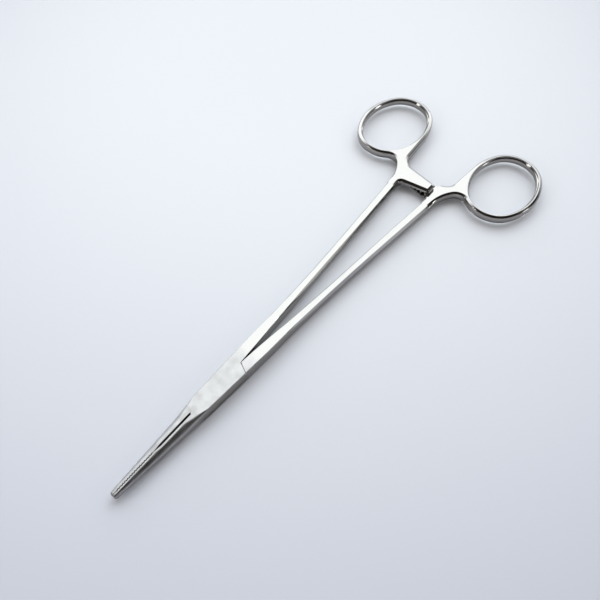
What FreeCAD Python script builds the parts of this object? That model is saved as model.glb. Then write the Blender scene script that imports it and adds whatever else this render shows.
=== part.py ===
# Box-lock haemostat: two forged steel halves that cross at a flush pin.
# Frame: the pin axis is Z at the origin, the jaws point along +X, the finger rings lie towards -X,
# and the flat underside of the lock rests on z = 0. The female half carries the box and the ring
# at -Y, the male half carries the tongue and the ring at +Y. Millimetres throughout.
import FreeCAD, Part
import math
import os

import Sketcher
from FreeCAD import Placement, Rotation, Vector

DOCUMENT = FreeCAD.newDocument("haemostat")

# Driving dimensions: alias, value in mm (or degrees where the name says angle), what it is.
SIZES = [
    ("lock_thick", 4.4, "height of the closed lock, top face to underside"),
    ("lock_rear_width", 6.7, "width of the lock where the shanks leave it"),
    ("lock_front_width", 5.3, "width of the lock where the jaws leave it"),
    ("lock_edge", 0.35, "rounding of the lock's long edges"),
    ("lock_nose_edge", 1.35, "the same rounding where it opens out into the jaws"),
    ("step_inner", 9.4, "pin to the inner end of each step line"),
    ("step_outer", 7.8, "pin to the outer end of each step line"),
    ("step_gap", 0.26, "running gap along the step lines"),
    ("slot_end", 7.6, "pin to the end of the slot in the side of the box"),
    ("slot_gap", 0.2, "gap between the tongue and the ends of the slot"),
    ("tongue_thick", 2.6, "thickness of the tongue"),
    ("tongue_recess", 0.12, "how far the tongue's flanks stand back from the sides of the box"),
    ("slot_clear", 0.08, "clearance above and below the tongue"),
    ("split_gap", 0.1, "gap between the halves along the centre line"),
    ("split_edge", 0.04, "bevel along the shank's inner edges where it leaves the lock"),
    ("pin_width", 2.4, "diameter of the pivot pin"),
    ("pin_clear", 0.04, "radial clearance of the pin in the tongue"),
    ("jaw_reach", 36.0, "pin to the tip of the jaws"),
    ("jaw_tip_width", 1.1, "width of one jaw just behind its rounded tip"),
    ("jaw_tip_height", 2.1, "height of the jaws just behind the tip"),
    ("jaw_tip_round", 0.6, "length of the rounding at the tip"),
    ("jaw_tip_end", 0.5, "share of the section left at the very end of that rounding"),
    ("jaw_crown", 0.42, "flat left along the crown of each jaw"),
    ("jaw_flank", 0.36, "height of each flank of a jaw, as a share of the jaw's height"),
    ("jaw_fullness", 0.3, "fullness of the flanks: 0 is a flat bevel, 0.707 a quarter ellipse"),
    ("jaw_inner_edge", 0.03, "bevel along the jaws' inner edges"),
    ("jaw_blend", 3.6, "length over which the lock turns into the rounded jaw"),
    ("relief_gap", 0.55, "open gap between the jaws behind the grip"),
    ("grip_start", 22.0, "pin to the start of the serrated grip"),
    ("grip_blend", 2.0, "length over which the relief closes up"),
    ("grip_gap", 0.06, "gap left between the serrated faces"),
    ("serration_pitch", 0.8, "spacing of the serrations"),
    ("serration_depth", 0.22, "depth of the serrations"),
    ("neck_start", 86.0, "pin to the start of the neck"),
    ("neck_centre", 6.45, "centre of each shank from the centre line at the neck"),
    ("neck_width", 2.95, "width of the shank at the neck"),
    ("root_blend", 18.0, "length over which the shank narrows behind the lock"),
    ("shank_bow", 0.33, "how far the shanks bow in from straight"),
    ("shank_waist", 48.0, "pin to the slimmest part of the shank"),
    ("waist_width", 2.5, "width of the shank at its slimmest"),
    ("waist_height", 3.1, "height of the shank at its slimmest"),
    ("shank_rounded", 0.2, "share of the shank, next to the lock, with rounded edges"),
    ("bevel_wide", 0.55, "width of the shank's bevel at the waist"),
    ("bevel_tall", 0.8, "height of the shank's bevel at the waist"),
    ("ring_back", 108.45, "pin to the centre of the finger rings"),
    ("ring_side", 20.93, "centre line to the centre of each ring"),
    ("ring_long", 27.1, "length of the ring, measured along the middle of its band"),
    ("ring_wide", 20.84, "width of the ring, measured along the middle of its band"),
    ("ring_end_radius", 9.1, "radius of the ring's two ends, middle of the band"),
    ("band_width", 1.85, "width of the ring's band"),
    ("ring_height", 2.9, "height of the ring's band"),
    ("rim_wide", 0.55, "width of the bevel along the rims of ring, neck and arm"),
    ("rim_tall", 0.95, "height of the same bevel"),
    ("flare_radius", 13.0, "wide curve on the outside of the neck"),
    ("crotch_radius", 3.4, "small curve between neck and ring"),
    ("crotch_angle", 34.0, "where the crotch meets the ring, angle off the ring's long axis"),
    ("land_angle", 4.6, "slope of the inner edge of the neck land"),
    ("arm_back_root", 95.9, "pin to the back edge of the ratchet arm at its root"),
    ("arm_back_end", 94.7, "the same at the arm's end"),
    ("arm_front_root", 89.1, "pin to the front edge of the ratchet arm at its root"),
    ("arm_front_end", 90.9, "the same at the arm's end"),
    ("arm_root_line", 5.0, "centre line to where the arm's root is measured"),
    ("arm_overlap", 4.4, "how far the arm reaches past the centre line"),
    ("arm_back_radius", 4.0, "curve between arm and land"),
    ("arm_front_radius", 1.1, "curve between arm and shank"),
    ("arm_corner", 1.05, "rounding of the arm's end corners"),
    ("arm_shoulder", 5.9, "centre line to where the arm drops to half height"),
    ("ratchet_pitch", 1.4, "spacing of the ratchet teeth"),
    ("ratchet_depth", 0.45, "depth of the ratchet teeth"),
    ("ratchet_clear", 0.08, "gap between the two rows of teeth"),
]


def make_sheet():
    sheet = DOCUMENT.addObject("Spreadsheet::Sheet", "Sizes")
    for row, (alias, value, meaning) in enumerate(SIZES, start=1):
        sheet.set(f"A{row}", meaning)
        sheet.set(f"B{row}", str(value))
        sheet.setAlias(f"B{row}", alias)
    DOCUMENT.recompute()
    return sheet


SHEET = make_sheet()


def size(alias):
    return float(getattr(SHEET, alias))


# Sizes that several pieces share
MIDDLE = size("lock_thick") / 2
BAND = size("band_width") / 2
FULL_ROUND = math.sqrt(0.5)


# Cross-sections of shanks, lock and jaws

def corner(start, control, end, fullness):
    """A corner between two straight edges: a flat bevel at fullness 0, a quarter ellipse at 0.707."""
    if fullness == 0:
        return Part.makeLine(start, end)
    curve = Part.BSplineCurve()
    curve.buildFromPolesMultsKnots(
        [start, control, end], [3, 3], [0, 1], False, 2, [1.0, fullness, 1.0]
    )
    return curve.toShape()


def section(x, inner, outer, height, inner_edge, outer_edge):
    """A closed eight-edged section at x, from y = inner to y = outer, centred on the lock's height.

    Each edge is (width, height, fullness) of the bevel or rounding at that side.
    """
    high, low = MIDDLE + height / 2, MIDDLE - height / 2
    side = 1 if outer > inner else -1
    (iw, ih, inner_fullness), (ow, oh, outer_fullness) = inner_edge, outer_edge
    points = [
        Vector(x, inner + side * iw, high), Vector(x, outer - side * ow, high),
        Vector(x, outer, high - oh), Vector(x, outer, low + oh),
        Vector(x, outer - side * ow, low), Vector(x, inner + side * iw, low),
        Vector(x, inner, low + ih), Vector(x, inner, high - ih),
    ]
    corners = [
        (Vector(x, outer, high), outer_fullness), (Vector(x, outer, low), outer_fullness),
        (Vector(x, inner, low), inner_fullness), (Vector(x, inner, high), inner_fullness),
    ]
    edges = []
    for i, (control, fullness) in enumerate(corners):
        start, end, after = points[2 * i], points[2 * i + 1], points[(2 * i + 2) % 8]
        edges.append(Part.makeLine(start, end))
        edges.append(corner(end, control, after, fullness))
    return Part.Wire(edges)


def blend(start, end, share):
    """A smooth change from start to end, as share goes from 0 to 1."""
    share = min(1.0, max(0.0, share))
    return start + (end - start) * share * share * (3 - 2 * share)


def lock_half_width(x):
    rear, front = size("lock_rear_width") / 2, size("lock_front_width") / 2
    share = (x + size("step_inner")) / (2 * size("step_inner"))
    return rear + (front - rear) * share


def lock_block():
    """The closed lock as one block: full width, long edges rounded, opening out at the nose."""
    edge, nose = size("lock_edge"), size("lock_nose_edge")
    end = size("step_inner")
    sections = []
    for x, rounding in ((-end, edge), (end - size("jaw_blend"), edge), (end, nose)):
        half = lock_half_width(x)
        rounded = (rounding, rounding, FULL_ROUND)
        sections.append(section(x, -half, half, size("lock_thick"), rounded, rounded))
    return Part.makeLoft(sections, True, True)


def shank():
    """The shank at +Y: square with rounded edges at the lock, bevelled from there to the neck."""
    start, end, waist = size("step_inner"), size("neck_start"), size("shank_waist")
    root_inner, root_outer = size("split_gap") / 2, lock_half_width(-start)
    root_width = root_outer - root_inner
    root_centre = (root_inner + root_outer) / 2
    count = 12
    sections = []
    for i in range(count):
        share = i / (count - 1)
        x = start + (end - start) * share
        centre = root_centre + (size("neck_centre") - root_centre) * share
        centre -= 4 * size("shank_bow") * share * (1 - share)
        before, after = (x - start) / (waist - start), (x - waist) / (end - waist)
        if x < waist:
            width = blend(root_width, size("waist_width"), (x - start) / size("root_blend"))
            height = blend(size("lock_thick"), size("waist_height"), before)
            wide = blend(size("lock_edge") / 2, size("bevel_wide"), before)
            tall = blend(size("lock_edge"), size("bevel_tall"), before)
            inner_wide = blend(size("split_edge"), size("bevel_wide"), before)
            fullness = FULL_ROUND if share < size("shank_rounded") else 0
        else:
            width = blend(size("waist_width"), size("neck_width"), after)
            height = blend(size("waist_height"), size("ring_height"), after)
            wide = blend(size("bevel_wide"), size("rim_wide"), after)
            tall = blend(size("bevel_tall"), size("rim_tall"), after)
            inner_wide = wide
            fullness = 0
        if i == 0:
            wide = tall = size("lock_edge")
        inner_tall = inner_wide * tall / wide
        sections.append(section(
            -x, centre - width / 2, centre + width / 2, height,
            (inner_wide, inner_tall, fullness), (wide, tall, fullness),
        ))
    return Part.makeLoft(sections, True, True)


def jaw():
    """The jaw at -Y: flat inside, crowned outside, with a relief behind the grip."""
    start, reach = size("step_inner"), size("jaw_reach")
    root_outer, tip_outer = lock_half_width(start), size("jaw_tip_width")
    round_start = reach - size("jaw_tip_round")
    relief, grip = size("relief_gap") / 2, size("grip_gap") / 2
    grip_start, crown = size("grip_start"), size("jaw_crown")
    stations = [start + size("jaw_blend") * share for share in (0.0, 0.35, 0.7, 1.0)]
    stations += [grip_start - size("grip_blend") * share for share in (1.0, 0.5, 0.0)]
    stations += [round_start + size("jaw_tip_round") * share for share in (0.0, 0.5, 0.8, 1.0)]
    sections = []
    for x in stations:
        share = (x - start) / (round_start - start)
        outer = root_outer + (tip_outer - root_outer) * min(1.0, share)
        height = size("lock_thick") + (size("jaw_tip_height") - size("lock_thick")) * min(1.0, share)
        inner = blend(relief, grip, (x - grip_start + size("grip_blend")) / size("grip_blend"))
        if x > round_start:
            along = (x - round_start) / size("jaw_tip_round")
            left = size("jaw_tip_end")
            shrink = left + (1 - left) * math.sqrt(max(0.0, 1 - along * along))
            outer = inner + (outer - inner) * shrink
            height *= shrink
        width = outer - inner
        opened = (x - start) / size("jaw_blend")
        wide = min(blend(size("lock_nose_edge"), width - crown, opened), 0.9 * width)
        tall = blend(size("lock_nose_edge"), size("jaw_flank") * height, opened)
        fullness = blend(FULL_ROUND, size("jaw_fullness"), opened)
        edge = size("jaw_inner_edge")
        sections.append(section(x, -inner, -outer, height, (edge, edge, 0), (wide, tall, fullness)))
    return Part.makeLoft(sections, True, True)


# The handle end: neck, finger ring and ratchet arm, drawn once for the male side

def turned(vector, degrees):
    return Rotation(Vector(0, 0, 1), degrees).multVec(vector)


def round_arc(centre, start, end, turn):
    """The arc about centre from start to end, turning left for turn = 1 and right for turn = -1."""
    first, last = start - centre, end - centre
    sweep = math.atan2(last.y, last.x) - math.atan2(first.y, first.x)
    sweep = (turn * sweep) % (2 * math.pi) * turn
    halfway = centre + turned(first, math.degrees(sweep / 2))
    return Part.Arc(start, halfway, end).toShape()


def meeting(point, direction, other, other_direction):
    """Where two lines in plan cross."""
    cross = direction.x * other_direction.y - direction.y * other_direction.x
    gap = other - point
    along = (gap.x * other_direction.y - gap.y * other_direction.x) / cross
    return point + direction * along


def rounded_path(points, radii):
    """Straight runs through points, with each corner between two runs rounded."""
    edges = []
    last = points[0]
    for before, here, after, radius in zip(points, points[1:], points[2:], radii):
        back, ahead = (before - here).normalize(), (after - here).normalize()
        half = back.getAngle(ahead) / 2
        reach = radius / math.tan(half)
        start, end = here + back * reach, here + ahead * reach
        middle = here + (back + ahead).normalize() * (radius / math.sin(half) - radius)
        edges.append(Part.makeLine(last, start))
        edges.append(Part.Arc(start, middle, end).toShape())
        last = end
    edges.append(Part.makeLine(last, points[-1]))
    return edges


class Ring:
    """The finger ring's four tangent arcs in plan, seen at the middle of its band."""

    def __init__(self):
        self.centre = Vector(-size("ring_back"), size("ring_side"), 0)
        self.end_radius = size("ring_end_radius")
        half_long, half_wide = size("ring_long") / 2, size("ring_wide") / 2
        reach = half_long - self.end_radius
        self.side_radius = (reach ** 2 + half_wide ** 2 - self.end_radius ** 2) / (
            2 * (half_wide - self.end_radius)
        )
        drop = self.side_radius - half_wide
        self.near = self.centre + Vector(reach, 0, 0)
        self.far = self.centre - Vector(reach, 0, 0)
        self.inner_centre = self.centre + Vector(0, drop, 0)
        self.outer_centre = self.centre - Vector(0, drop, 0)

    def joint(self, side_centre, end_centre, offset):
        """Where a side arc and an end arc meet, offset from the middle of the band."""
        direction = (end_centre - side_centre).normalize()
        return end_centre + direction * (self.end_radius + offset)

    def arcs(self, start, end, offset):
        """The outline from start on the near end, round by the far end, to end on the inner side."""
        near_outer = self.joint(self.outer_centre, self.near, offset)
        far_outer = self.joint(self.outer_centre, self.far, offset)
        far_inner = self.joint(self.inner_centre, self.far, offset)
        return [
            round_arc(self.near, start, near_outer, 1),
            round_arc(self.outer_centre, near_outer, far_outer, 1),
            round_arc(self.far, far_outer, far_inner, 1),
            round_arc(self.inner_centre, far_inner, end, 1),
        ]

    def opening(self):
        start = self.joint(self.inner_centre, self.near, -BAND)
        return Part.Wire(self.arcs(start, start, -BAND))


def handle_plan():
    """The outline of neck, ring and arm at +Y, and the finger opening."""
    ring = Ring()
    root_centre = (size("split_gap") + size("lock_rear_width")) / 4
    rise = size("neck_centre") - root_centre + 4 * size("shank_bow")
    along = Vector(size("step_inner") - size("neck_start"), rise, 0).normalize()
    outward = Vector(along.y, -along.x, 0)
    half = size("neck_width") / 2
    outer_start = Vector(-size("neck_start"), size("neck_centre") + half, 0)
    inner_start = Vector(-size("neck_start"), size("neck_centre") - half, 0)

    # outer side: shank, wide flare, small crotch curve, ring
    flare, crotch = size("flare_radius"), size("crotch_radius")
    ray = turned(Vector(1, 0, 0), -size("crotch_angle"))
    crotch_centre = ring.near + ray * (ring.end_radius + BAND + crotch)
    crotch_end = ring.near + ray * (ring.end_radius + BAND)
    offset = outer_start + outward * flare - crotch_centre
    lean = offset.dot(along)
    reach = -lean - math.sqrt(lean ** 2 - offset.dot(offset) + (flare - crotch) ** 2)
    flare_start = outer_start + along * reach
    flare_centre = flare_start + outward * flare
    flare_end = flare_centre + (crotch_centre - flare_centre).normalize() * flare
    edges = [
        Part.makeLine(outer_start, flare_start),
        round_arc(flare_centre, flare_start, flare_end, -1),
        round_arc(crotch_centre, flare_end, crotch_end, -1),
    ]

    # inner side: ring, land, arm, shank
    slope = turned(Vector(1, 0, 0), -size("land_angle"))
    land_start = ring.inner_centre + turned(slope, -90) * (ring.side_radius + BAND)
    edges += ring.arcs(crotch_end, land_start, BAND)
    tip = -size("arm_overlap")
    back_root = Vector(-size("arm_back_root"), size("arm_root_line"), 0)
    back_end = Vector(-size("arm_back_end"), tip, 0)
    front_root = Vector(-size("arm_front_root"), size("arm_root_line"), 0)
    front_end = Vector(-size("arm_front_end"), tip, 0)
    back_corner = meeting(land_start, slope, back_end, back_root - back_end)
    front_corner = meeting(inner_start, along, front_end, front_root - front_end)
    corners = [land_start, back_corner, back_end, front_end, front_corner, inner_start]
    radii = [size("arm_back_radius"), size("arm_corner"), size("arm_corner"), size("arm_front_radius")]
    edges += rounded_path(corners, radii)
    edges.append(Part.makeLine(inner_start, outer_start))
    return Part.Wire(edges), ring.opening()


def handle_end():
    """Neck, ring and arm as one forging, with every rim bevelled except where the shank joins on."""
    outline, opening = handle_plan()
    rise = Vector(0, 0, size("ring_height"))
    blank = Part.Face(outline).extrude(rise).cut(Part.Face(opening).extrude(rise))
    blank.translate(Vector(0, 0, MIDDLE) - rise / 2)
    top, start = size("ring_height") / 2, -size("neck_start")
    rims = [
        edge for edge in blank.Edges
        if abs(abs(edge.CenterOfMass.z - MIDDLE) - top) < 1e-6 and abs(edge.CenterOfMass.x - start) > 1e-6
    ]
    return blank.makeChamfer(size("rim_wide"), size("rim_tall"), rims)


# Teeth

def comb(start, pitch, count, base, depth, beyond):
    """A plan of V notches: a band from base to beyond whose base side carries the teeth."""
    points = [Vector(start, beyond, 0), Vector(start, base, 0)]
    for i in range(count):
        here = start + i * pitch
        points += [Vector(here + pitch / 2, base - depth, 0), Vector(here + pitch, base, 0)]
    points.append(Vector(start + count * pitch, beyond, 0))
    return Part.Face(Part.makePolygon(points + points[:1]))


def serration_cutter(shift):
    """Upright V grooves for the inner face of the jaw at -Y, moved along the jaw by shift."""
    pitch = size("serration_pitch")
    count = int((size("jaw_reach") - size("jaw_tip_round") - size("grip_start")) / pitch) - 1
    face = comb(
        size("grip_start") + pitch / 2 + shift, pitch, count,
        -size("grip_gap") / 2, size("serration_depth"), size("lock_thick") / 8,
    )
    return face.extrude(Vector(0, 0, size("lock_thick")))


def ratchet_cutter():
    """Clears the upper half of the arm at +Y down to a row of slanted teeth."""
    shelf, top = MIDDLE - size("ratchet_clear") / 2, 2 * size("lock_thick")
    shoulder, pitch, depth = size("arm_shoulder"), size("ratchet_pitch"), size("ratchet_depth")
    first = size("arm_overlap") + 2 * BAND
    profile = [Vector(0, -first, top), Vector(0, -first, shelf)]
    count = int((shoulder + size("arm_overlap") - size("arm_corner")) / pitch)
    for i in range(count, 0, -1):
        tooth = shoulder - size("ratchet_pitch") / 2 - i * pitch
        profile += [Vector(0, tooth, shelf), Vector(0, tooth, shelf - depth), Vector(0, tooth + pitch, shelf)]
    profile += [Vector(0, shoulder, shelf), Vector(0, shoulder, top)]
    face = Part.Face(Part.makePolygon(profile + profile[:1]))
    face.translate(Vector(-size("arm_back_root") - 2 * size("arm_back_radius"), 0, 0))
    length = size("arm_back_root") + 2 * size("arm_back_radius") - size("arm_front_root")
    return face.extrude(Vector(length, 0, 0))


# The document's objects

def add(kind, name, **properties):
    made = DOCUMENT.addObject(kind, name)
    for key, value in properties.items():
        setattr(made, key, value)
    return made


def female_side(shape):
    """The female half's copy of a male shape: the same forging, turned over about the X axis."""
    copy = shape.copy()
    copy.rotate(Vector(0, 0, MIDDLE), Vector(1, 0, 0), 180)
    return copy


def plan_sketch(name, *loops):
    """Closed outlines at mid height. Each corner (x, y) is held by two distances bound to the sheet."""
    sketch = add("Sketcher::SketchObject", name)
    sketch.setExpression("Placement.Base.z", "Sizes.lock_thick / 2")
    for loop in loops:
        first, count = sketch.GeometryCount, len(loop)
        spots = [turned(Vector(1, 0, 0), 360 * i / count) for i in range(count)]
        for i in range(count):
            sketch.addGeometry(Part.LineSegment(spots[i], spots[(i + 1) % count]))
        for i, rules in enumerate(loop):
            line, following = first + i, first + (i + 1) % count
            sketch.addConstraint(Sketcher.Constraint("Coincident", line, 2, following, 1))
            for kind, rule, start in zip(("DistanceX", "DistanceY"), rules, spots[i]):
                held = sketch.addConstraint(Sketcher.Constraint(kind, -1, 1, line, 1, start))
                sketch.setExpression(f"Constraints[{held}]", rule)
    return sketch


def opposite(points):
    """The same points turned by half a turn about the pin, as rules."""
    return [(f"-({x})", f"-({y})") for x, y in points]


def prism(sketch, name, height):
    """A sketch raised by half the height to each side."""
    made = add("Part::Extrusion", name, Base=sketch, DirMode="Normal", Solid=True, Symmetric=True)
    made.setExpression("LengthFwd", height)
    return made


def bore(name, radius):
    hole = add("Part::Cylinder", name)
    hole.setExpression("Radius", radius)
    hole.setExpression("Height", "3 * Sizes.lock_thick")
    hole.setExpression("Placement.Base.z", "-Sizes.lock_thick")
    return hole


# Rules for the lock's plans: the pin is at (0, 0), REAR and FRONT are the ends of the step lines
REAR, FRONT = "-Sizes.step_inner", "Sizes.step_inner"
SIDE, OTHER_SIDE = "Sizes.lock_rear_width", "-Sizes.lock_rear_width"
SPLIT, OTHER_SPLIT = "Sizes.split_gap / 2", "-Sizes.split_gap / 2"
STEP_LEAN = "2 * (Sizes.step_inner - Sizes.step_outer)"
SLOT_LEAN = "2 * (Sizes.step_inner - Sizes.slot_end)"

cheek_points = [
    (REAR, OTHER_SIDE), (REAR, OTHER_SPLIT), (f"{REAR} + Sizes.step_gap", SPLIT),
    (f"{REAR} + Sizes.step_gap + {STEP_LEAN}", SIDE),
]
slot_points = [(REAR, "0"), (f"{REAR} + {SLOT_LEAN}", OTHER_SIDE), (FRONT, OTHER_SIDE)]
tongue_points = [
    (REAR, SPLIT), (f"{REAR} + Sizes.slot_gap", "0"),
    (f"{REAR} + Sizes.slot_gap + {SLOT_LEAN}", OTHER_SIDE), (FRONT, OTHER_SIDE),
]
wedge_points = [(REAR, SPLIT), (f"{REAR} + {STEP_LEAN}", SIDE), (REAR, SIDE)]

flank_points = [
    (REAR, "Sizes.lock_rear_width / 2 - Sizes.tongue_recess"),
    (REAR, "Sizes.tongue_recess - Sizes.lock_rear_width / 2"),
    (FRONT, "Sizes.tongue_recess - Sizes.lock_front_width / 2"),
    (FRONT, "Sizes.lock_front_width / 2 - Sizes.tongue_recess"),
]

block = add("Part::Feature", "LockBlock", Shape=lock_block())
tall = "3 * Sizes.lock_thick"
cheek_plan = plan_sketch("CheekPlan", cheek_points + opposite(cheek_points))
slot_plan = plan_sketch("SlotPlan", slot_points + opposite(slot_points))
tongue_plan = plan_sketch("TonguePlan", tongue_points + opposite(tongue_points))
wedge_plan = plan_sketch("WedgePlan", wedge_points, opposite(wedge_points))
cheek_prism = prism(cheek_plan, "CheekPrism", tall)
slot_slab = prism(slot_plan, "SlotSlab", "Sizes.tongue_thick + 2 * Sizes.slot_clear")
tongue_slab = prism(tongue_plan, "TongueSlab", "Sizes.tongue_thick")
flank_slab = prism(plan_sketch("FlankPlan", flank_points), "FlankSlab", "Sizes.tongue_thick")
wedge_prism = prism(wedge_plan, "WedgePrism", tall)
cheeks = add("Part::MultiCommon", "Cheeks", Shapes=[block, cheek_prism])
box = add("Part::Cut", "Box", Base=cheeks, Tool=slot_slab)
tongue = add("Part::MultiCommon", "Tongue", Shapes=[tongue_slab, flank_slab])
tongue_and_wedges = add("Part::MultiFuse", "TongueAndWedges", Shapes=[tongue, wedge_prism])
core = add("Part::MultiCommon", "Core", Shapes=[block, tongue_and_wedges])

shank_shape, jaw_shape, ring_end_shape = shank(), jaw(), handle_end()
half_pitch = size("serration_pitch") / 2
male_parts = [
    core,
    add("Part::Feature", "MaleShank", Shape=shank_shape),
    add("Part::Feature", "MaleJaw", Shape=jaw_shape),
    add("Part::Feature", "MaleRingEnd", Shape=ring_end_shape),
]
female_parts = [
    box,
    add("Part::Feature", "FemaleShank", Shape=female_side(shank_shape)),
    add("Part::Feature", "FemaleJaw", Shape=female_side(jaw_shape)),
    add("Part::Feature", "FemaleRingEnd", Shape=female_side(ring_end_shape)),
]
male_cuts = [
    bore("TongueBore", "Sizes.pin_width / 2 + Sizes.pin_clear"),
    add("Part::Feature", "MaleSerrations", Shape=serration_cutter(0)),
    add("Part::Feature", "MaleRatchet", Shape=ratchet_cutter()),
]
female_cuts = [
    bore("BoxBore", "Sizes.pin_width / 2"),
    add("Part::Feature", "FemaleSerrations", Shape=female_side(serration_cutter(half_pitch))),
    add("Part::Feature", "FemaleRatchet", Shape=female_side(ratchet_cutter())),
]


def half(name, label, parts, cuts):
    forging = add("Part::MultiFuse", name + "Forging", Shapes=parts)
    machining = add("Part::MultiFuse", name + "Machining", Shapes=cuts)
    made = add("Part::Cut", name, Base=forging, Tool=machining, Label=label)
    made.Placement = Placement(Vector(0, 0, 0), Rotation())
    return made


female_half = half("FemaleHalf", "female_half", female_parts, female_cuts)
male_half = half("MaleHalf", "male_half", male_parts, male_cuts)
pivot_pin = add("Part::Cylinder", "PivotPin", Label="pivot_pin")
pivot_pin.setExpression("Radius", "Sizes.pin_width / 2")
pivot_pin.setExpression("Height", "Sizes.lock_thick")
pivot_pin.Placement = Placement(Vector(0, 0, 0), Rotation())

DOCUMENT.recompute()

for item in DOCUMENT.Objects:
    if "Invalid" in item.State or "Error" in item.State:
        raise RuntimeError(f"{item.Label} failed: {item.State}")
    if hasattr(item, "Shape") and (item.Shape.isNull() or not item.Shape.isValid()):
        raise RuntimeError(f"{item.Label} has no valid shape")

os.makedirs("parts", exist_ok=True)
for node in (female_half, male_half, pivot_pin):
    if len(node.Shape.Solids) != 1:
        raise RuntimeError(f"{node.Label} is {len(node.Shape.Solids)} solids")
    node.Shape.exportStep(f"parts/{node.Label}.step")
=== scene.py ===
"""Looks of a straight box-lock haemostat: its polished steel, the pale table and the daylight."""

import math

import bmesh
import bpy
from mathutils import Matrix, Vector


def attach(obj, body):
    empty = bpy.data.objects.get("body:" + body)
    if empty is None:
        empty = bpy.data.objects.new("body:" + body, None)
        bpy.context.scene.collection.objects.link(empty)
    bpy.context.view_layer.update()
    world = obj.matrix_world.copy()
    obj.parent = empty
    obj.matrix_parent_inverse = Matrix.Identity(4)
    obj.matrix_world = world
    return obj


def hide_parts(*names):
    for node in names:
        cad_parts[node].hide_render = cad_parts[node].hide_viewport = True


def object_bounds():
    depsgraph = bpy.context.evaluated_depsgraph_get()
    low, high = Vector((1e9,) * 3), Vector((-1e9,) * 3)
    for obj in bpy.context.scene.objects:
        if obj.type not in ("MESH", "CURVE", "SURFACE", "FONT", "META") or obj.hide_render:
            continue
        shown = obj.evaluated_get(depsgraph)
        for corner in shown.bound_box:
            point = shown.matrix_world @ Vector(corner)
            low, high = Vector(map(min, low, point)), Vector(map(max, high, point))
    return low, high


bl_info = {
    "name": "Haemostat forceps",
    "version": (1, 0, 0),
    "blender": (4, 5, 0),
    "location": "3D View > Sidebar > Haemostat",
    "description": "Dresses the forceps' frame in polished and satin steel and sets up its table",
    "category": "Object",
}

MM = 0.001

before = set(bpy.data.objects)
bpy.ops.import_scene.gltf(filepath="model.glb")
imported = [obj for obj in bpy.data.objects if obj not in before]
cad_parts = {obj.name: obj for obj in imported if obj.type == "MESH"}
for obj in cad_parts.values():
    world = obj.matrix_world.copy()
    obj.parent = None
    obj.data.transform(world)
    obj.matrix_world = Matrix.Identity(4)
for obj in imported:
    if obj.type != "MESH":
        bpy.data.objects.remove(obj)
CAD_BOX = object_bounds()
MIDDLE = (CAD_BOX[0][2] + CAD_BOX[1][2]) / 2

# Distance between corners that are merged, and tilt between facets that are joined
DOUBLES_REACH = 0.001 * MM
FACET_TILT = math.radians(0.4)

# Heights from mid height, in mm, at which the handles are cut; the last four meet only the shanks
RIM_LEVELS = (0.0, 0.25, 0.5, 0.75, 0.95, 1.1, 1.2, 1.28, 1.34, 1.38, 1.42, 1.47, 1.53, 1.6, 1.7)

# How near a corner lies to a cut, a section or a level to count as lying on it
CUT_REACH = 0.002 * MM
LEVEL_REACH = 0.003 * MM
SECTION_REACH = 0.005 * MM
TOP_REACH = 0.01 * MM

# Vertical part of the normal of an upright side, and of a bevel between side and top
SIDE_NORMALS = (0.0, 0.3)
BEVEL_NORMALS = (0.3, 0.75)

# Length below which a sum of faces' directions points to no side
NO_SIDE = 0.1

# Angles from which an edge stays sharp: on the rounded handles, and on shanks, box and jaws
ROUNDED_CREASE = math.radians(40)
FLAT_CREASE = math.radians(20)

# Noise at which a patch of satin begins to cloud and at which it is wholly cloudy
CLOUD_EDGES = (0.35, 0.68)

# Brightness of a cloudy patch beside a clear one
CLOUD_SHADE = 0.86

# Width of a grinding mark as a share of its length
MARK_SHAPE = 0.06

# Depth of the grinding marks, and how strongly they show on polish and on satin
MARK_DEPTH = 0.02 * MM
MARKS_SHOWN = (0.03, 0.14)

# How far below and above its setting the roughness of polish and of satin reaches
POLISH_SPREAD = (-0.03, 0.04)
SATIN_SPREAD = (-0.05, 0.07)

# Vertical part of the normal at which the shade painted on the upright sides begins to lift and is gone
SIDE_SHADE_FADE = (0.2, 0.72)

# Half the table's width, and how far it lies below the forceps so that no faces coincide
TABLE_REACH = 3.0
TABLE_GAP = 0.02 * MM

# Where a sun's symbol stands, which changes nothing in its light
SUN_DISTANCE = 0.6


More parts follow.
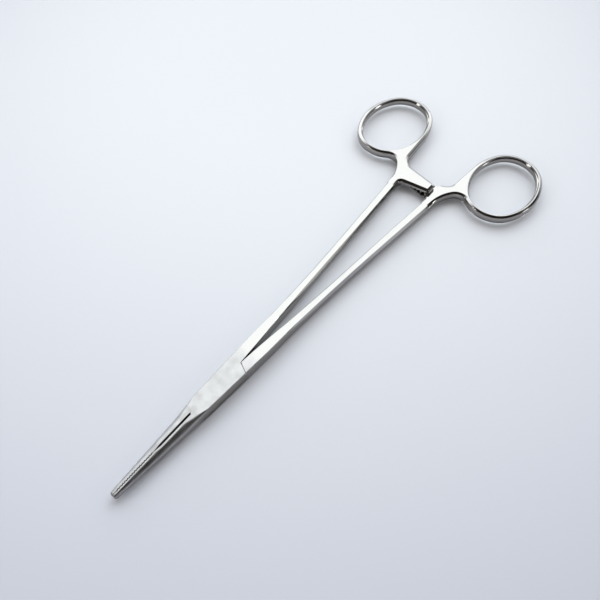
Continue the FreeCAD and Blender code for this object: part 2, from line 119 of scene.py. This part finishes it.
class ForgingSettings(bpy.types.PropertyGroup):
    """The two steel halves and their pin."""

    rim_width: bpy.props.FloatProperty(
        name="Rim width",
        description="Width of the rounding that polishing gives the rims of rings, neck and arm",
        default=0.84 * MM, unit="LENGTH",
    )
    rim_start: bpy.props.FloatProperty(
        name="Rim start", description="Where along the forceps that rounding begins",
        default=-86.0 * MM, unit="LENGTH",
    )
    rim_blend: bpy.props.FloatProperty(
        name="Rim blend", description="Length over which it grows to its full width",
        default=6.0 * MM, unit="LENGTH",
    )
    polish_colour: bpy.props.StringProperty(
        name="Polish colour", description="sRGB colour of the polished steel", default="C2C1BF",
    )
    satin_colour: bpy.props.StringProperty(
        name="Satin colour", description="sRGB colour of the blasted steel", default="BCBCBC",
    )
    # The side colour is painted shade: it darkens the upright sides to stand in for their dim
    # reflections, not a different finish
    side_shade_colour: bpy.props.StringProperty(
        name="Side colour", description="sRGB colour of the upright sides, which the wheel reaches less",
        default="979390",
    )
    polish_roughness: bpy.props.FloatProperty(
        name="Polish roughness", description="Roughness of rings, neck and shanks",
        default=0.13, min=0.0, max=1.0, subtype="FACTOR",
    )
    satin_roughness: bpy.props.FloatProperty(
        name="Satin roughness", description="Roughness of the box and jaws",
        default=0.33, min=0.0, max=1.0, subtype="FACTOR",
    )
    satin_start: bpy.props.FloatProperty(
        name="Satin start", description="Where along the forceps the polish has given way to satin",
        default=-9.4 * MM, unit="LENGTH",
    )
    satin_blend: bpy.props.FloatProperty(
        name="Satin blend", description="Length before that over which it does so",
        default=5.0 * MM, unit="LENGTH",
    )
    grind_pitch: bpy.props.FloatProperty(
        name="Grinding pitch", description="Spacing of the grinding marks across the jaws",
        default=0.22 * MM, unit="LENGTH",
    )
    cloud_size: bpy.props.FloatProperty(
        name="Cloud size", description="Size of the cloudy patches that handling leaves on the satin",
        default=2.6 * MM, unit="LENGTH",
    )


class StageSettings(bpy.types.PropertyGroup):
    """Table, light and camera."""

    table_light: bpy.props.StringProperty(
        name="Table, light", description="sRGB colour of the table at its best lit spot",
        default="E1E5EB",
    )
    table_dark: bpy.props.StringProperty(
        name="Table, dark", description="sRGB colour of the table far from that spot",
        default="A6A9B7",
    )
    table_spot: bpy.props.FloatVectorProperty(
        name="Table spot", description="Where the table is lit best",
        default=(-116.0 * MM, -74.0 * MM, 0.0), subtype="TRANSLATION",
    )
    table_bright: bpy.props.FloatProperty(
        name="Table bright", description="Distance from that spot at which the table begins to darken",
        default=38.0 * MM, unit="LENGTH",
    )
    table_fade: bpy.props.FloatProperty(
        name="Table fade", description="Length over which it darkens", default=261.0 * MM, unit="LENGTH",
    )
    window_colour: bpy.props.StringProperty(
        name="Window colour", description="sRGB colour of the wide window beyond the table",
        default="FBFEFF",
    )
    window_strength: bpy.props.FloatProperty(
        name="Window strength", description="Brightness of that window, where 1 shows white",
        default=1.85, min=0.0,
    )
    window_height: bpy.props.FloatProperty(
        name="Window height", description="Angle of the window's middle above the table",
        default=math.radians(33), subtype="ANGLE",
    )
    window_reach: bpy.props.FloatProperty(
        name="Window reach", description="Angle from the window's middle to where it starts to fade",
        default=math.radians(44), subtype="ANGLE",
    )
    window_fade: bpy.props.FloatProperty(
        name="Window fade", description="Angle over which it fades",
        default=math.radians(19), subtype="ANGLE",
    )
    wall_low: bpy.props.FloatProperty(
        name="Wall low", description="Angle above the table up to which the room's walls are pale",
        default=math.radians(3), subtype="ANGLE",
    )
    wall_high: bpy.props.FloatProperty(
        name="Wall high", description="Angle above the table from which they are lost in the dim",
        default=math.radians(24), subtype="ANGLE",
    )
    wall_colour: bpy.props.StringProperty(
        name="Wall colour", description="sRGB colour of the walls low down", default="C6C8CE",
    )
    room_colour: bpy.props.StringProperty(
        name="Room colour", description="sRGB colour of the dim room behind the camera",
        default="2A2521",
    )
    far_strength: bpy.props.FloatProperty(
        name="Far light", description="Soft light from the far side, where pi lights white to white",
        default=0.74, min=0.0,
    )
    fill_strength: bpy.props.FloatProperty(
        name="Fill light", description="Softer light from high up on the camera's side, on that scale",
        default=0.66, min=0.0,
    )
    left_power: bpy.props.FloatProperty(
        name="Left lamp", description="Power of the small lamp at -X and +Y",
        default=0.26, min=0.0, unit="POWER",
    )
    right_power: bpy.props.FloatProperty(
        name="Right lamp", description="Power of the small lamp at +X and -Y",
        default=0.4, min=0.0, unit="POWER",
    )
    camera_place: bpy.props.FloatVectorProperty(
        name="Camera place", description="Where the camera stands",
        default=(39.02 * MM, 60.22 * MM, 160.3 * MM), subtype="TRANSLATION",
    )
    camera_heading: bpy.props.FloatProperty(
        name="Camera heading", description="Direction in which it looks, from +X towards +Y",
        default=math.radians(219.67), subtype="ANGLE",
    )
    camera_dip: bpy.props.FloatProperty(
        name="Camera dip", description="How far it looks down from level",
        default=math.radians(58.64), subtype="ANGLE",
    )
    camera_roll: bpy.props.FloatProperty(
        name="Camera roll", description="How far it leans",
        default=math.radians(0.47), subtype="ANGLE",
    )
    camera_lens: bpy.props.FloatProperty(
        name="Lens", description="Focal length on a 36 mm wide sensor", default=39.17,
    )


def linear(hexadecimal):
    """An sRGB hex colour as Blender's linear RGBA."""
    channels = [int(hexadecimal[i:i + 2], 16) / 255 for i in (0, 2, 4)]
    curve = [c / 12.92 if c <= 0.04045 else ((c + 0.055) / 1.055) ** 2.4 for c in channels]
    return (*curve, 1.0)


def scaled(colour, share):
    """A linear RGBA colour with its brightness times share."""
    return (*(share * channel for channel in colour[:3]), 1.0)


def add_node(tree, kind, settings=None, **links):
    """Adds a node, sets its attributes, and sets its sockets or links them to other nodes' sockets.

    A socket is given by its name, with _ for a space, or as _0, _1 and so on by its number, where a
    node has several of one name: on a Mix node 0 is the share, and 2 and 3 or 6 and 7 what it mixes.
    """
    node = tree.nodes.new(kind)
    for name, value in (settings or {}).items():
        setattr(node, name, value)
    for name, value in links.items():
        key = int(name[1:]) if name[0] == "_" and name[1:].isdigit() else name.replace("_", " ")
        socket = node.inputs[key]
        if isinstance(value, bpy.types.NodeSocket):
            tree.links.new(value, socket)
        else:
            socket.default_value = value
    return node


def new_material(name):
    """A material and its node tree, still empty."""
    material = bpy.data.materials.new(name)
    material.use_nodes = True
    material.node_tree.nodes.clear()
    return material, material.node_tree


def forged_steel(name, settings):
    """Martensitic stainless steel, drop forged: rings, neck and shanks are buffed to a warm mirror,
    box and jaws are glass-bead blasted to a satin that handling leaves cloudy."""
    material, tree = new_material(name)
    coordinates = add_node(tree, "ShaderNodeTexCoord")
    place = coordinates.outputs["Object"]
    along = add_node(tree, "ShaderNodeSeparateXYZ", Vector=place).outputs["X"]
    satin = add_node(
        tree, "ShaderNodeMapRange", {"interpolation_type": "SMOOTHSTEP"}, Value=along,
        From_Min=settings.satin_start - settings.satin_blend, From_Max=settings.satin_start,
    ).outputs["Result"]

    # Clouds a few millimetres across, dulling the satin
    noise = add_node(
        tree, "ShaderNodeTexNoise", Vector=place, Scale=1 / settings.cloud_size, Detail=3.0,
        Roughness=0.55,
    ).outputs["Fac"]
    clouds = add_node(
        tree, "ShaderNodeMapRange", Value=noise, From_Min=CLOUD_EDGES[0], From_Max=CLOUD_EDGES[1],
    ).outputs["Result"]

    # Grinding marks across the length
    squeezed = add_node(
        tree, "ShaderNodeMapping", Vector=place,
        Scale=[share / settings.grind_pitch for share in (1.0, MARK_SHAPE, MARK_SHAPE)],
    ).outputs["Vector"]
    marks = add_node(
        tree, "ShaderNodeTexNoise", Vector=squeezed, Scale=1.0, Detail=2.0, Roughness=0.6,
    ).outputs["Fac"]

    # Polish, satin and its clouds, and painted shade that darkens the upright sides below the faces
    # above them, standing in for the dim reflections they show
    clear_satin = linear(settings.satin_colour)
    satin_colour = add_node(
        tree, "ShaderNodeMix", {"data_type": "RGBA"}, _0=clouds,
        _6=clear_satin, _7=scaled(clear_satin, CLOUD_SHADE),
    ).outputs[2]
    face_colour = add_node(
        tree, "ShaderNodeMix", {"data_type": "RGBA"}, _0=satin,
        _6=linear(settings.polish_colour), _7=satin_colour,
    ).outputs[2]
    # Painted shade: the more upright a face, the more it takes the darker side colour
    upward = add_node(tree, "ShaderNodeSeparateXYZ", Vector=coordinates.outputs["Normal"]).outputs["Z"]
    vertical = add_node(tree, "ShaderNodeMath", {"operation": "ABSOLUTE"}, _0=upward).outputs["Value"]
    unshaded = add_node(
        tree, "ShaderNodeMapRange", {"interpolation_type": "SMOOTHSTEP"}, Value=vertical,
        From_Min=SIDE_SHADE_FADE[0], From_Max=SIDE_SHADE_FADE[1],
    ).outputs["Result"]
    colour = add_node(
        tree, "ShaderNodeMix", {"data_type": "RGBA"}, _0=unshaded,
        _6=linear(settings.side_shade_colour), _7=face_colour,
    ).outputs[2]

    # Roughness, which the marks vary on the polish and the clouds on the satin
    polish_roughness = add_node(
        tree, "ShaderNodeMapRange", Value=marks,
        To_Min=settings.polish_roughness + POLISH_SPREAD[0],
        To_Max=settings.polish_roughness + POLISH_SPREAD[1],
    ).outputs["Result"]
    satin_roughness = add_node(
        tree, "ShaderNodeMapRange", Value=clouds,
        To_Min=settings.satin_roughness + SATIN_SPREAD[0],
        To_Max=settings.satin_roughness + SATIN_SPREAD[1],
    ).outputs["Result"]
    roughness = add_node(
        tree, "ShaderNodeMix", {"data_type": "FLOAT"}, _0=satin,
        _2=polish_roughness, _3=satin_roughness,
    ).outputs[0]

    relief = add_node(
        tree, "ShaderNodeMapRange", Value=satin, To_Min=MARKS_SHOWN[0], To_Max=MARKS_SHOWN[1],
    ).outputs["Result"]
    bump = add_node(
        tree, "ShaderNodeBump", Strength=relief, Distance=MARK_DEPTH, Height=marks,
    ).outputs["Normal"]
    shader = add_node(
        tree, "ShaderNodeBsdfPrincipled", Base_Color=colour, Metallic=1.0, Roughness=roughness,
        Normal=bump,
    ).outputs["BSDF"]
    add_node(tree, "ShaderNodeOutputMaterial", Surface=shader)
    return material


def rim_section(forging, settings):
    """The section at which the rounding starts: its half height, how far its top is set in from its
    side, and how far below the top its next corner lies, where two bevels cross."""
    places = [
        vertex.co for vertex in forging.verts if abs(vertex.co.x - settings.rim_start) < SECTION_REACH
    ]
    half = max(abs(place.z - MIDDLE) for place in places)
    tops = [place for place in places if abs(place.z - MIDDLE) > half - TOP_REACH]
    sides = [place for place in places if abs(place.z - MIDDLE) <= half - TOP_REACH]
    inset = max(place.y for place in sides) - max(place.y for place in tops)
    drop = half - max(abs(place.z - MIDDLE) for place in sides)
    return half, inset, drop


def smoothstep(share):
    """Rises from 0 to 1 with share, level at both ends."""
    share = min(1.0, max(0.0, share))
    return share * share * (3 - 2 * share)


def rim_shift(place, section, settings):
    """How far a point of a rim moves in: the inset of a quarter ellipse, less that of the section."""
    half, inset, drop = section
    share = smoothstep((settings.rim_start - place.x) / settings.rim_blend)
    height = abs(place.z - MIDDLE)
    bevelled = inset * max(0.0, height - half + drop) / drop
    climb = min(1.0, height / half)
    return share * (settings.rim_width * (1 - math.sqrt(1 - climb * climb)) - bevelled)


def round_rims(forging, settings):
    """Cuts the sides of neck, ring and arm into levels and moves these in, as polishing wears them."""
    section = rim_section(forging, settings)

    # The heights are a set, so that mid height is cut only once
    for level in RIM_LEVELS:
        for height in {level * MM, -level * MM}:
            handle = [face for face in forging.faces if face.calc_center_median().x < settings.rim_start]
            edges = {edge for face in handle for edge in face.edges}
            verts = {vertex for face in handle for vertex in face.verts}
            bmesh.ops.bisect_plane(
                forging, geom=[*verts, *edges, *handle], dist=CUT_REACH,
                plane_co=(0, 0, MIDDLE + height), plane_no=(0, 0, 1),
            )
    forging.normal_update()

    # Corners on bevels follow the bevels' outward direction, all others that of the sides
    half, _, drop = section
    moves = []
    for vertex in forging.verts:
        if vertex.co.x > settings.rim_start:
            continue
        bevelled = abs(vertex.co.z - MIDDLE) > half - drop - LEVEL_REACH
        least, most = BEVEL_NORMALS if bevelled else SIDE_NORMALS
        outward = Vector((0.0, 0.0, 0.0))
        for face in vertex.link_faces:
            if least <= abs(face.normal.z) < most:
                outward += Vector((face.normal.x, face.normal.y, 0.0)).normalized()
        if outward.length > NO_SIDE:
            moves.append((vertex, outward.normalized() * rim_shift(vertex.co, section, settings)))
    for vertex, move in moves:
        vertex.co -= move


def polished_forging(node_name, piece_name, settings):
    """A merged copy of a half, with the rims of its handle rounded."""
    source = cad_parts[node_name]
    mesh = source.data.copy()
    mesh.name = piece_name
    forging = bmesh.new()
    forging.from_mesh(mesh)
    bmesh.ops.remove_doubles(forging, verts=forging.verts, dist=DOUBLES_REACH)
    bmesh.ops.dissolve_limit(
        forging, angle_limit=FACET_TILT, verts=forging.verts, edges=forging.edges,
    )
    round_rims(forging, settings)
    for face in forging.faces:
        face.smooth = True
    for edge in forging.edges:
        rounded = min(vertex.co.x for vertex in edge.verts) < settings.rim_start
        crease = ROUNDED_CREASE if rounded else FLAT_CREASE
        edge.smooth = edge.calc_face_angle(math.pi) < crease
    forging.to_mesh(mesh)
    forging.free()
    mesh.materials.clear()
    piece = bpy.data.objects.new(piece_name, mesh)
    bpy.context.scene.collection.objects.link(piece)
    weighted = piece.modifiers.new("Weighted normals", "WEIGHTED_NORMAL")
    weighted.keep_sharp = True
    return piece


class HAEMOSTAT_OT_female_half(bpy.types.Operator):
    """Dress the half that carries the box"""

    bl_idname = "haemostat.female_half"
    bl_label = "Female half"

    def execute(self, context):
        settings = context.scene.haemostat_forging
        piece = polished_forging("female_half", "female_forging", settings)
        piece.data.materials.append(forged_steel("stainless_forging", settings))
        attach(piece, "female")
        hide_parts("female_half")
        return {"FINISHED"}


class HAEMOSTAT_OT_male_half(bpy.types.Operator):
    """Dress the half that carries the tongue"""

    bl_idname = "haemostat.male_half"
    bl_label = "Male half"

    def execute(self, context):
        settings = context.scene.haemostat_forging
        piece = polished_forging("male_half", "male_forging", settings)
        piece.data.materials.append(bpy.data.materials["stainless_forging"])
        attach(piece, "male")
        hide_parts("male_half")
        return {"FINISHED"}


class HAEMOSTAT_OT_pivot_pin(bpy.types.Operator):
    """Dress the flush pin"""

    bl_idname = "haemostat.pivot_pin"
    bl_label = "Pivot pin"

    def execute(self, context):
        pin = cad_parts["pivot_pin"]
        pin.data.materials.clear()
        pin.data.materials.append(forged_steel("stainless_pin", context.scene.haemostat_forging))
        return {"FINISHED"}


def camera_axes(settings):
    """The camera's right, up and forward directions."""
    dip, heading = settings.camera_dip, settings.camera_heading
    forward = Vector((
        math.cos(dip) * math.cos(heading), math.cos(dip) * math.sin(heading), -math.sin(dip),
    ))
    right = forward.cross(Vector((0, 0, 1))).normalized()
    up = right.cross(forward)
    lean = settings.camera_roll
    leaning_right = right * math.cos(lean) + up * math.sin(lean)
    return leaning_right, up * math.cos(lean) - right * math.sin(lean), forward


def add_camera(settings):
    """The camera that took the photograph."""
    right, up, forward = camera_axes(settings)
    data = bpy.data.cameras.new("photograph_camera")
    data.sensor_width = 36.0
    data.lens = settings.camera_lens
    data.clip_start = 0.01
    camera = bpy.data.objects.new("photograph_camera", data)
    turn = Matrix((right, up, -forward)).transposed().to_4x4()
    camera.matrix_world = Matrix.Translation(settings.camera_place) @ turn
    bpy.context.scene.collection.objects.link(camera)
    bpy.context.scene.camera = camera


def direction(azimuth, elevation):
    """A unit vector: azimuth runs from +X towards +Y, elevation up from the table."""
    level = math.cos(elevation)
    return Vector((level * math.cos(azimuth), level * math.sin(azimuth), math.sin(elevation)))


def hang(data, towards, distance):
    """Hangs a light at a distance from the pin, shining back at it."""
    lamp = bpy.data.objects.new(data.name, data)
    turn = towards.to_track_quat("Z", "Y").to_matrix().to_4x4()
    lamp.matrix_world = Matrix.Translation(towards * distance) @ turn
    bpy.context.scene.collection.objects.link(lamp)
    return lamp


def add_soft_light(name, towards, strength, spread, colour):
    """Light from a wide part of the room, too even to show in the steel."""
    data = bpy.data.lights.new(name, "SUN")
    data.energy = strength
    data.angle = spread
    data.color = linear(colour)[:3]
    hang(data, towards, SUN_DISTANCE).visible_glossy = False


def add_disc_lamp(name, towards, power, width, distance):
    """A small round lamp, which rims and rings mirror as white spots."""
    data = bpy.data.lights.new(name, "AREA")
    data.energy = power
    data.shape = "DISK"
    data.size = width
    hang(data, towards, distance)


def daylight(settings):
    """A dim room, pale low down, with one wide window beyond the table, as polished steel shows it."""
    world = bpy.data.worlds.new("room")
    world.use_nodes = True
    tree = world.node_tree
    tree.nodes.clear()
    heading = add_node(tree, "ShaderNodeTexCoord").outputs["Generated"]
    window = direction(settings.camera_heading, settings.window_height)
    towards = add_node(
        tree, "ShaderNodeVectorMath", {"operation": "DOT_PRODUCT"}, _0=heading, _1=window,
    ).outputs["Value"]
    off = add_node(tree, "ShaderNodeMath", {"operation": "ARCCOSINE"}, _0=towards).outputs["Value"]
    lit = add_node(
        tree, "ShaderNodeMapRange", {"interpolation_type": "SMOOTHSTEP"}, Value=off,
        From_Min=settings.window_reach, From_Max=settings.window_reach + settings.window_fade,
        To_Min=1.0, To_Max=0.0,
    ).outputs["Result"]
    rise = add_node(tree, "ShaderNodeSeparateXYZ", Vector=heading).outputs["Z"]
    low = add_node(
        tree, "ShaderNodeMapRange", {"interpolation_type": "SMOOTHSTEP"}, Value=rise,
        From_Min=math.sin(settings.wall_low), From_Max=math.sin(settings.wall_high),
        To_Min=1.0, To_Max=0.0,
    ).outputs["Result"]
    room = add_node(
        tree, "ShaderNodeMix", {"data_type": "RGBA"}, _0=low,
        _6=linear(settings.room_colour), _7=linear(settings.wall_colour),
    ).outputs[2]
    glow = scaled(linear(settings.window_colour), settings.window_strength)
    colour = add_node(
        tree, "ShaderNodeMix", {"data_type": "RGBA"}, _0=lit, _6=room, _7=glow,
    ).outputs[2]
    background = add_node(tree, "ShaderNodeBackground", Color=colour, Strength=1.0).outputs[0]
    add_node(tree, "ShaderNodeOutputWorld", Surface=background)
    bpy.context.scene.world = world


def table_top(settings):
    """A matt white melamine table top that darkens away from its best lit spot."""
    material, tree = new_material("melamine_table")
    place = add_node(tree, "ShaderNodeTexCoord").outputs["Object"]
    distance = add_node(
        tree, "ShaderNodeVectorMath", {"operation": "DISTANCE"}, _0=place, _1=settings.table_spot,
    ).outputs["Value"]
    share = add_node(
        tree, "ShaderNodeMapRange", {"interpolation_type": "SMOOTHSTEP"}, Value=distance,
        From_Min=settings.table_bright, From_Max=settings.table_bright + settings.table_fade,
    ).outputs["Result"]
    colour = add_node(
        tree, "ShaderNodeMix", {"data_type": "RGBA"}, _0=share,
        _6=linear(settings.table_light), _7=linear(settings.table_dark),
    ).outputs[2]
    shader = add_node(
        tree, "ShaderNodeBsdfPrincipled", Base_Color=colour, Roughness=0.6, Specular_IOR_Level=0.2,
    ).outputs["BSDF"]
    add_node(tree, "ShaderNodeOutputMaterial", Surface=shader)
    return material


def add_table(settings):
    """The table that the forceps lie on."""
    board = bmesh.new()
    bmesh.ops.create_grid(board, x_segments=1, y_segments=1, size=TABLE_REACH)
    bmesh.ops.translate(board, verts=board.verts, vec=(0, 0, -TABLE_GAP))
    mesh = bpy.data.meshes.new("table")
    board.to_mesh(mesh)
    board.free()
    mesh.materials.append(table_top(settings))
    table = bpy.data.objects.new("table", mesh)
    bpy.context.scene.collection.objects.link(table)


class HAEMOSTAT_OT_stage(bpy.types.Operator):
    """Set up table, light and camera"""

    bl_idname = "haemostat.stage"
    bl_label = "Stage"

    def execute(self, context):
        settings = context.scene.haemostat_stage
        add_table(settings)
        daylight(settings)
        facing = settings.camera_heading + math.pi
        beyond = direction(azimuth=facing + math.radians(160), elevation=math.radians(46))
        add_soft_light(
            "far_light", beyond, settings.far_strength, spread=math.radians(55), colour="EEF6FF",
        )
        left = direction(azimuth=math.radians(129), elevation=math.radians(27))
        add_disc_lamp("left_lamp", left, settings.left_power, width=0.12, distance=0.66)
        right = direction(azimuth=math.radians(-37), elevation=math.radians(31))
        add_disc_lamp("right_lamp", right, settings.right_power, width=0.16, distance=0.52)
        above = direction(azimuth=facing, elevation=math.radians(75))
        add_soft_light(
            "fill_light", above, settings.fill_strength, spread=math.radians(150), colour="FFF3E9",
        )
        add_camera(settings)
        context.scene.view_settings.view_transform = "Standard"
        return {"FINISHED"}


class HAEMOSTAT_PT_panel(bpy.types.Panel):
    """The steps in order"""

    bl_idname = "HAEMOSTAT_PT_panel"
    bl_label = "Haemostat forceps"
    bl_space_type = "VIEW_3D"
    bl_region_type = "UI"
    bl_category = "Haemostat"

    def draw(self, context):
        for operator in OPERATORS:
            self.layout.operator(operator.bl_idname)


OPERATORS = (
    HAEMOSTAT_OT_female_half,
    HAEMOSTAT_OT_male_half,
    HAEMOSTAT_OT_pivot_pin,
    HAEMOSTAT_OT_stage,
)
CLASSES = (ForgingSettings, StageSettings, *OPERATORS, HAEMOSTAT_PT_panel)


def register():
    for item in CLASSES:
        bpy.utils.register_class(item)
    bpy.types.Scene.haemostat_forging = bpy.props.PointerProperty(type=ForgingSettings)
    bpy.types.Scene.haemostat_stage = bpy.props.PointerProperty(type=StageSettings)


def unregister():
    del bpy.types.Scene.haemostat_stage
    del bpy.types.Scene.haemostat_forging
    for item in reversed(CLASSES):
        bpy.utils.unregister_class(item)


def main():
    register()
    bpy.ops.haemostat.female_half()
    bpy.ops.haemostat.male_half()
    bpy.ops.haemostat.pivot_pin()
    bpy.ops.haemostat.stage()


if __name__ == "__main__":
    main()
